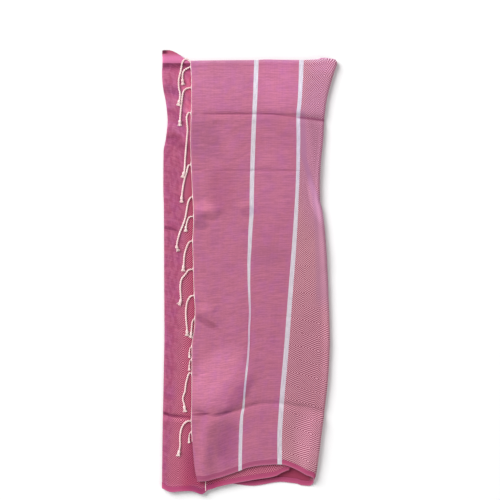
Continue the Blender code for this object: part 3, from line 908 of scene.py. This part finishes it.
def make_inner_fringe(finish):
    lowest_tip = lower_hem_at(CLOTH_LENGTH) + INNER_HEM_MARGIN
    full_drop = INNER_ROUTE[-1][1]
    tassels = []
    for i in range(INNER_TASSEL_COUNT):
        root = INNER_FIRST_ROOT - INNER_ROOT_SPACING * i
        drop = full_drop + INNER_LONGER * math.sin(INNER_RHYTHM * i)
        stretch = min(drop, root - lowest_tip) / full_drop
        tassels.append((root, [(out, down * stretch) for out, down in INNER_ROUTE]))
    edge = Edge(lambda y: TAIL_EDGE, lambda y: TAIL_LEVEL,
                lambda x, y: BACK_LEVEL + CLOTH_THICKNESS / 2,
                LOWER_HEM[-1][1] + 1, UPPER_HEM[-1][1] - 1)
    fringe = make_fringe("corded_fringe_inner", tassels, edge, [], finish)
    return ride_and_stand_for(fringe, "fringe_inner")


class Value:
    """A number that varies over a surface. Arithmetic on it adds Math nodes to its finish."""

    def __init__(self, finish, socket):
        self.finish = finish
        self.socket = socket

    def math(self, operation, *others):
        return self.finish.maths(operation, self, *others)

    def __add__(self, other):
        return self.math("ADD", other)

    def __radd__(self, other):
        return self.math("ADD", other)

    def __sub__(self, other):
        return self.math("SUBTRACT", other)

    def __rsub__(self, other):
        return self.finish.maths("SUBTRACT", other, self)

    def __mul__(self, other):
        return self.math("MULTIPLY", other)

    def __rmul__(self, other):
        return self.math("MULTIPLY", other)

    def __truediv__(self, other):
        return self.math("DIVIDE", other)

    def __abs__(self):
        return self.math("ABSOLUTE")

    def ease(self, start, end):
        """0 before the start and 1 after the end, with a gentle rise between them."""
        sockets = {"Value": self, "From Min": start, "From Max": end}
        return self.finish.node("MapRange", {"interpolation_type": "SMOOTHSTEP"}, sockets)

    def band(self, middle, width, soft):
        """1 in a band of that width, and 0 outside its soft edges."""
        return abs(self - middle).ease((width + soft) / 2, (width - soft) / 2)


class Finish:
    """The material of one surface with its colour so far, and the one way to add a node to it."""

    def __init__(self, name, colour):
        self.colour = colour
        self.material = bpy.data.materials.new(name)
        self.material.use_nodes = True
        self.tree = self.material.node_tree
        self.shader = self.tree.nodes["Principled BSDF"]

    def node(self, kind, settings, sockets, output=0):
        made = self.tree.nodes.new("ShaderNode" + kind)
        for setting, value in settings.items():
            setattr(made, setting, value)
        for socket, value in sockets.items():
            self.feed(made.inputs[socket], value)
        return Value(self, made.outputs[output])

    def feed(self, socket, value):
        if isinstance(value, Value):
            self.tree.links.new(value.socket, socket)
        else:
            socket.default_value = value

    def maths(self, operation, *values):
        return self.node("Math", {"operation": operation}, dict(enumerate(values)))

    def blend(self, share, first, second, how="MIX"):
        """The first colour, changed to the second by the share."""
        settings = {"data_type": "RGBA", "blend_type": how}
        return self.node("Mix", settings, {0: share, 6: first, 7: second}, 2)

    def parts(self, vector):
        """The three numbers of a vector."""
        first = self.node("SeparateXYZ", {}, {0: vector})
        return [Value(self, output) for output in first.socket.node.outputs]

    def cover(self, share, colour):
        """Lays a colour over that share of the one so far."""
        self.colour = self.blend(share, self.colour, colour)

    def tint(self, share, tint):
        """Multiplies that share of the colour so far by a tint."""
        self.colour = self.blend(share, self.colour, (*tint, 1.0), "MULTIPLY")

    def speckle(self, place, size, detail=2.0):
        """Noise from 0 to 1 with patches of that size across, up and deep."""
        scale = [1 / length for length in size]
        scaled = self.node("VectorMath", {"operation": "MULTIPLY"}, {0: place, 1: scale})
        return self.node("TexNoise", {}, {"Vector": scaled, "Scale": 1.0, "Detail": detail})

    def speckles(self, place, layers):
        """Layers of noise over each other."""
        return sum(self.speckle(place, *layer) * share for *layer, share in layers)

    def dress(self, **values):
        """Feeds the shader its colour and these sockets, with underscores for their spaces."""
        for name, value in {"Base_Color": self.colour, **values}.items():
            self.feed(self.shader.inputs[name.replace("_", " ")], value)
        return self.material


def dye(red, green, blue):
    """A colour as a screen shows it, 0 to 255, as linear light."""
    linear = []
    for part in (red, green, blue):
        part /= 255
        linear.append(part / 12.92 if part <= 0.04045 else ((part + 0.055) / 1.055) ** 2.4)
    return (*linear, 1.0)


GROUND_PINK = dye(188, 111, 145)
GROUND_SHADE = dye(169, 97, 130)
# painted shade below the upper crease
LOWER_SHADE_TINT = (0.9, 0.87, 0.86)
DIAMOND_LIGHT = dye(224, 166, 180)
DIAMOND_DEEP = dye(118, 40, 68)
# painted sheen
PAINTED_SHEEN_LILAC = dye(172, 119, 143)
# painted shade on the strip
STRIP_SHADE_TINT = (0.96, 0.75, 0.86)
MOTTLE_TINT = (0.86, 0.72, 0.8)
# painted shade on the strip's diamonds
STRIP_DIAMOND_SHADE_TINT = (0.98, 0.56, 0.74)
# painted shade under the flap's edge
FLAP_EDGE_SHADE_TINT = (0.92, 0.52, 0.68)
# the rolled top: painted light on its brow, painted shade at its top, painted shadow in its corner
ROLL_LIT_PINK = dye(201, 109, 152)
ROLL_SHADED_TOP = dye(171, 77, 106)
ROLL_CORNER_SHADOW = dye(96, 26, 54)
ROLL_SHADE_TINT = (0.62, 0.46, 0.58)
# painted shade inside the fold
INSIDE_SHADE_RED = dye(158, 60, 90)
FLAP_HEM = dye(176, 90, 126)
DEEP_HEM = dye(186, 82, 122)
UPPER_HEM_TINT = (1.1, 1.36, 1.26)
HEM_EDGE = dye(214, 150, 180)
STRIPE_WHITE = dye(216, 209, 219)
STRIPE_SHADE = dye(196, 188, 200)
YARN_SHADE = dye(244, 213, 213)
YARN_CREAM = dye(252, 231, 228)
YARN_FIBRE = dye(216, 172, 176)
FLOOR_WHITE = (0.9, 0.9, 0.9, 1)

# Painted light and shade, and a few fixes of tone: soft patches lighter where the folds would catch
# the light and darker in creases, hollows and low down, the diamonds cooler up high, and the
# strip's hem. Each has its middle and half size along and up the cloth, tint, and lean of a patch
# to the right as it goes up
Tone = namedtuple("Tone", "along up half_along half_up tint lean", defaults=[0.0])
TONE_RANGE = (1.0, 0.1)
LIGHT_SHADE_AND_TONE_PATCHES = [Tone(*row) for row in (
    (65, 965, 120, 70, (1.04, 1.07, 1.08)),  # above the upper crease
    (212, 950, 74, 88, (1.13, 1.14, 1.17)),
    (318, 990, 64, 32, (1.14, 1.1, 1.2)),
    (25, 815, 62, 60, (0.85, 0.85, 0.9)),  # under it by the fringe
    (78, 690, 48, 70, (0.93, 0.87, 0.89)),
    (205, 700, 66, 120, (1.06, 1.08, 1.1)),  # between the stripes
    (205, 520, 66, 34, (0.92, 0.92, 0.94)),
    (24, 654, 42, 15, (1.2, 1.26, 1.2)),  # pucker by the fringe, and under it
    (18, 610, 34, 16, (0.78, 0.76, 0.8), -0.5),
    (30, 413, 40, 14, (1.1, 1.12, 1.08)),  # slanting crease
    (36, 375, 22, 24, (0.76, 0.69, 0.73), -1.6),
    (62, 245, 84, 84, (1.32, 1.43, 1.37), 0.5),  # swell over the lower crease
    (140, 190, 34, 50, (0.84, 0.76, 0.9), 0.7),
    (118, 72, 46, 70, (0.82, 0.74, 0.9)),  # hollow by the near stripe
    (318, 80, 34, 96, (1.16, 1.16, 1.2)),  # by the right fold
    (320, 660, 22, 66, (1.26, 1.34, 1.32), -0.3),
    (342, 500, 22, 520, (1.26, 1.3, 1.3)),  # painted light, paler along that fold
    (157, 340, 8, 110, (0.92, 0.72, 0.84)),  # near stripe where it is drawn in
    (148, 632, 24, 17, (0.84, 0.8, 0.88)),  # beside the near stripe
    (132, 652, 34, 9, (1.12, 1.15, 1.12)),
    (30, 158, 38, 4.5, (0.62, 0.49, 0.57), -0.1),  # deepest parts of the lower crease
    (92, 152, 40, 7, (0.74, 0.66, 0.76), 0.1),
    (310, 800, 64, 260, (0.97, 0.92, 1.12)),  # diamonds, cooler up high
    (310, 240, 64, 240, (0.94, 0.89, 0.94)),  # and painted shade, darker down low
    (808, 890, 34, 112, (1.4, 1.48, 1.32)),  # strip beside the flap's edge, up high
    (845, 90, 60, 110, (0.85, 0.92, 0.98)),  # and down low
    (855, 6, 60, 16, (0.93, 1.3, 1.26)),  # hem of the strip
    (765, 6, 60, 16, (1.08, 1.08, 1.15)),
    (755, 912, 90, 14, (0.8, 0.8, 0.86)),  # across the strip under the roll
    (755, 880, 90, 14, (1.08, 1.22, 1.18)),
    (760, 826, 90, 15, (1.13, 1.28, 1.34)),
    (760, 798, 90, 13, (0.82, 0.74, 0.84)),
    (748, 596, 30, 5, (0.66, 0.52, 0.64)),  # sharp creases of the strip
    (760, 173, 70, 5, (0.62, 0.42, 0.58)),
    (760, 164, 70, 6, (1.1, 1.16, 1.14)),
)]


def weave_ground(finish, place):
    """Plain weave with fine streaks across and softer ones up the cloth, uneven in its dye."""
    finish.cover(finish.speckles(place, GROUND_LAYERS).ease(*STREAK_RANGE), GROUND_PINK)
    for size, shown, tint in DYE_PATCHES:
        patches = finish.speckle(place, size, PATCH_DETAIL).ease(*shown)
        finish.tint(patches * PATCH_SHARE, tint)


def diamond_weave(along, up):
    """Nested diamonds of raised thread, broken up by the threads that cross them."""
    across_diamond = along.math("PINGPONG", DIAMOND_WIDTH / 2)
    up_diamond = up.math("PINGPONG", DIAMOND_HEIGHT / 2)
    line = abs(((across_diamond + up_diamond) / LINE_PITCH).math("FRACT") - 0.5)
    crossing = abs(((across_diamond - up_diamond) / LINE_PITCH).math("FRACT") - 0.5)
    return (line + crossing * CROSSING_SHARE).ease(*RAISED_RANGE)


def painted_sheen_zone(along, up):
    """Where a lilac sheen is painted over the weave, in a slanting band and then by the right fold.
    """
    middle = SHEEN_START + (SHEEN_TOP - up) * SHEEN_SLANT
    middle = middle + (SHEEN_BEND - up).math("MAXIMUM", 0.0) * SHEEN_LOWER_SLANT
    middle = middle.math("MINIMUM", SHEEN_LIMIT)
    width = SHEEN_WIDTH + up.ease(*SHEEN_SPREADING) * SHEEN_SPREAD
    across = (along - middle).band(0.0, width, SHEEN_SOFT)
    return across * up.ease(*SHEEN_LOWER_END) * up.ease(*SHEEN_UPPER_END)


def paint_light_shade_and_tones(finish, along, up):
    """Lays each soft patch of painted light and shade, and each fix of tone, over the colour."""
    for tone in LIGHT_SHADE_AND_TONE_PATCHES:
        above = up - tone.up
        across = (along - tone.along - above * tone.lean) / tone.half_along
        above = above / tone.half_up
        far = across * across + above * above
        finish.tint(far.ease(*TONE_RANGE), tone.tint)


def paint_crease_shade(finish, x, y):
    """Painted shade along the sharp line of the pressed crease across the top, and of the lighter
    one under it.
    """
    past_bend = (x - CREASE_BEND).math("MAXIMUM", 0.0)
    for height, fall, width, soft, ranges, tint in CREASE_SHADE_LINES:
        shown = (y + past_bend * fall).band(height, width, soft)
        for ends in ranges:
            shown = shown * x.ease(*ends)
        finish.tint(shown, tint)


def colour_roll_with_painted_light(finish, along, y):
    """The rolled top of the strip, with painted light along its brow, painted shade at its top edge
    and under it, and a painted shadow in its corner.
    """
    beside_flap = along.ease(*ROLL_FROM)
    # painted shade under the roll
    finish.tint(y.ease(*ROLL_SHADE) * beside_flap, ROLL_SHADE_TINT)
    # painted light along the roll's brow, painted shade at its top edge
    rolled = finish.blend(y.ease(*ROLL_BROW), ROLL_LIT_PINK, ROLL_SHADED_TOP)
    # painted shadow in the roll's corner
    shadowed_corner = along.ease(*CORNER_ALONG) * y.ease(*CORNER_UP)
    rolled = finish.blend(shadowed_corner, rolled, ROLL_CORNER_SHADOW)
    finish.cover(y.ease(*ROLL_FOOT) * beside_flap, rolled)


def colour_hems(finish, along, up):
    """The turned band along the lower side, and only a faint line along the upper one."""
    from_side = CLOTH_WIDTH / 2 - abs(up - CLOTH_WIDTH / 2)
    lower_side = up.ease(*LOWER_SIDE)
    hem = finish.blend(along.ease(FAR_STRIPE, FAR_STRIPE + 1), FLAP_HEM, DEEP_HEM)
    finish.cover(from_side.ease(*HEM_RANGE) * lower_side, hem)
    for band, tint in HEM_LINES:
        finish.tint(from_side.band(*band) * lower_side, tint)
    finish.tint(from_side.ease(*UPPER_HEM_RANGE) * (1 - lower_side), UPPER_HEM_TINT)
    finish.cover(from_side.ease(*HEM_EDGE_RANGE) * HEM_EDGE_SHARE, HEM_EDGE)


def draw_stripes(finish, place, along, up):
    """Two white stripes up the cloth; the near one is drawn in over its middle."""
    drawn_in = up.ease(*NARROW_FROM) * up.ease(*NARROW_TO)
    near_width = STRIPE_WIDTH - drawn_in * (STRIPE_WIDTH - NARROW_WIDTH)
    near = along.band(NEAR_STRIPE, near_width, STRIPE_SOFT)
    far = along.band(FAR_STRIPE, STRIPE_WIDTH, STRIPE_SOFT)
    uneven = finish.speckles(place, STRIPE_LAYERS).ease(*STRIPE_RANGE)
    finish.cover(near + far, finish.blend(uneven, STRIPE_SHADE, STRIPE_WHITE))


def cloth_finish():
    """The whole cloth: ground, stripes, diamond weave past them, hems, painted sheen, and patches
    of painted light, shade and tone by place.
    """
    finish = Finish("woven_pink_cotton", GROUND_SHADE)
    place = finish.node("Attribute", {"attribute_name": "cloth_place"}, {}, "Vector")
    along, up, _ = finish.parts(place)

    weave_ground(finish, place)
    raised = diamond_weave(along, up)
    on_strip = along.ease(*STRIP_FROM)
    in_strip_diamonds = (along - up * DIAMONDS_LEAN).ease(*DIAMONDS_FROM)
    plain_strip = on_strip * (1 - in_strip_diamonds)
    in_diamonds = along.ease(FAR_STRIPE + 1, FAR_STRIPE + 2) * (1 - plain_strip)
    finish.cover(in_diamonds, finish.blend(raised, DIAMOND_DEEP, DIAMOND_LIGHT))
    # painted sheen: a lilac band over the diamond weave
    finish.cover(painted_sheen_zone(along, up) * SHEEN_SHARE, PAINTED_SHEEN_LILAC)

    # painted shade: the strip under the flap darker and deeper pink
    finish.tint(plain_strip, STRIP_SHADE_TINT)
    mottle = finish.speckle(place, MOTTLE_SIZE, MOTTLE_DETAIL).ease(*MOTTLE_RANGE)
    finish.tint(mottle * plain_strip, MOTTLE_TINT)
    # painted shade on the strip's diamonds as well
    finish.tint(on_strip * in_strip_diamonds, STRIP_DIAMOND_SHADE_TINT)
    # painted shade: the back layer's inside face deep in the fold, dark red
    finish.cover(along.ease(*SHADED_INSIDE_FROM) * (1 - on_strip), INSIDE_SHADE_RED)

    colour_hems(finish, along, up)
    # painted shade on the strip beside and under the flap's edge
    finish.tint(along.band(*SHADE_UNDER_FLAP_EDGE), FLAP_EDGE_SHADE_TINT)
    draw_stripes(finish, place, along, up)
    # painted shade: the cloth darker below the upper crease
    finish.tint(up.ease(*SHADED_LOWER_PART), LOWER_SHADE_TINT)
    # patches of painted light and shade over the folds
    paint_light_shade_and_tones(finish, along, up)
    x, y, _ = finish.parts(finish.node("TexCoord", {}, {}, "Object"))
    # painted shade along the crease lines
    paint_crease_shade(finish, x / MM, y / MM)
    # painted light and shade on the rolled top of the strip
    colour_roll_with_painted_light(finish, along, y / MM)

    turns = math.tau / THREAD_PITCH
    threads = (along * turns).math("SINE") * (up * turns).math("SINE")
    height = threads * THREAD_RELIEF + raised * in_diamonds * DIAMOND_RELIEF
    height = height + finish.speckle(place, STREAK_SIZE) * STREAK_RELIEF
    bump = finish.node("Bump", {}, {"Strength": 0.6, "Distance": 0.3 * MM, "Height": height})
    return finish.dress(Normal=bump, Roughness=0.88, Sheen_Weight=0.12, Sheen_Roughness=0.4,
                        Specular_IOR_Level=0.25)


def yarn_finish():
    """Cream cotton yarn, a little uneven in colour, with a fibrous face."""
    finish = Finish("twisted_cream_cotton", YARN_SHADE)
    place = finish.node("TexCoord", {}, {}, "Object")
    finish.cover(finish.speckle(place, YARN_TONE_SIZE).ease(*YARN_TONE_RANGE), YARN_CREAM)
    fibre = finish.speckle(place, FIBRE_SIZE)
    finish.cover(fibre.ease(*FIBRE_RANGE) * FIBRE_SHARE, YARN_FIBRE)
    bump = finish.node("Bump", {}, {"Strength": 0.4, "Distance": 0.2 * MM, "Height": fibre})
    return finish.dress(Normal=bump, Roughness=0.9, Sheen_Weight=0.2, Sheen_Roughness=0.4,
                        Specular_IOR_Level=0.25)


def make_floor():
    bm = bmesh.new()
    bmesh.ops.create_grid(bm, x_segments=1, y_segments=1, size=FLOOR_REACH)
    mesh = bpy.data.meshes.new("floor")
    bm.to_mesh(mesh)
    bm.free()
    finish = Finish("pale_floor", FLOOR_WHITE)
    mesh.materials.append(finish.dress(Roughness=0.95, Specular_IOR_Level=0.1))
    new_object("floor", mesh)


def make_light(name, place, size, power):
    """A soft square light that faces the towel."""
    light = bpy.data.lights.new(name, "AREA")
    light.size = size
    light.energy = power
    lamp = new_object(name, light)
    lamp.location = place
    lamp.rotation_euler = (-Vector(place)).to_track_quat("-Z", "Y").to_euler()


def make_studio():
    """Floor, light from the upper left, soft fill, and the camera straight above."""
    make_floor()
    make_light("key", *KEY_LIGHT)
    make_light("fill", *FILL_LIGHT)
    world = bpy.data.worlds.new("pale_room")
    world.use_nodes = True
    room = world.node_tree.nodes["Background"]
    room.inputs["Color"].default_value = (1, 1, 1, 1)
    room.inputs["Strength"].default_value = ROOM_LIGHT
    bpy.context.scene.world = world

    camera = bpy.data.cameras.new("camera")
    camera.sensor_width = SENSOR
    camera.lens = SENSOR * (CAMERA_HEIGHT - VIEW_LEVEL) / VIEW_WIDTH
    viewer = new_object("camera", camera)
    viewer.location = (*VIEW_CENTRE, CAMERA_HEIGHT)
    bpy.context.scene.camera = viewer
    bpy.context.scene.view_settings.view_transform = "Standard"


def main():
    make_studio()
    yarn = yarn_finish()
    cloth = make_cloth(cloth_finish())
    outer = make_outer_fringe(yarn)
    inner = make_inner_fringe(yarn)


main()
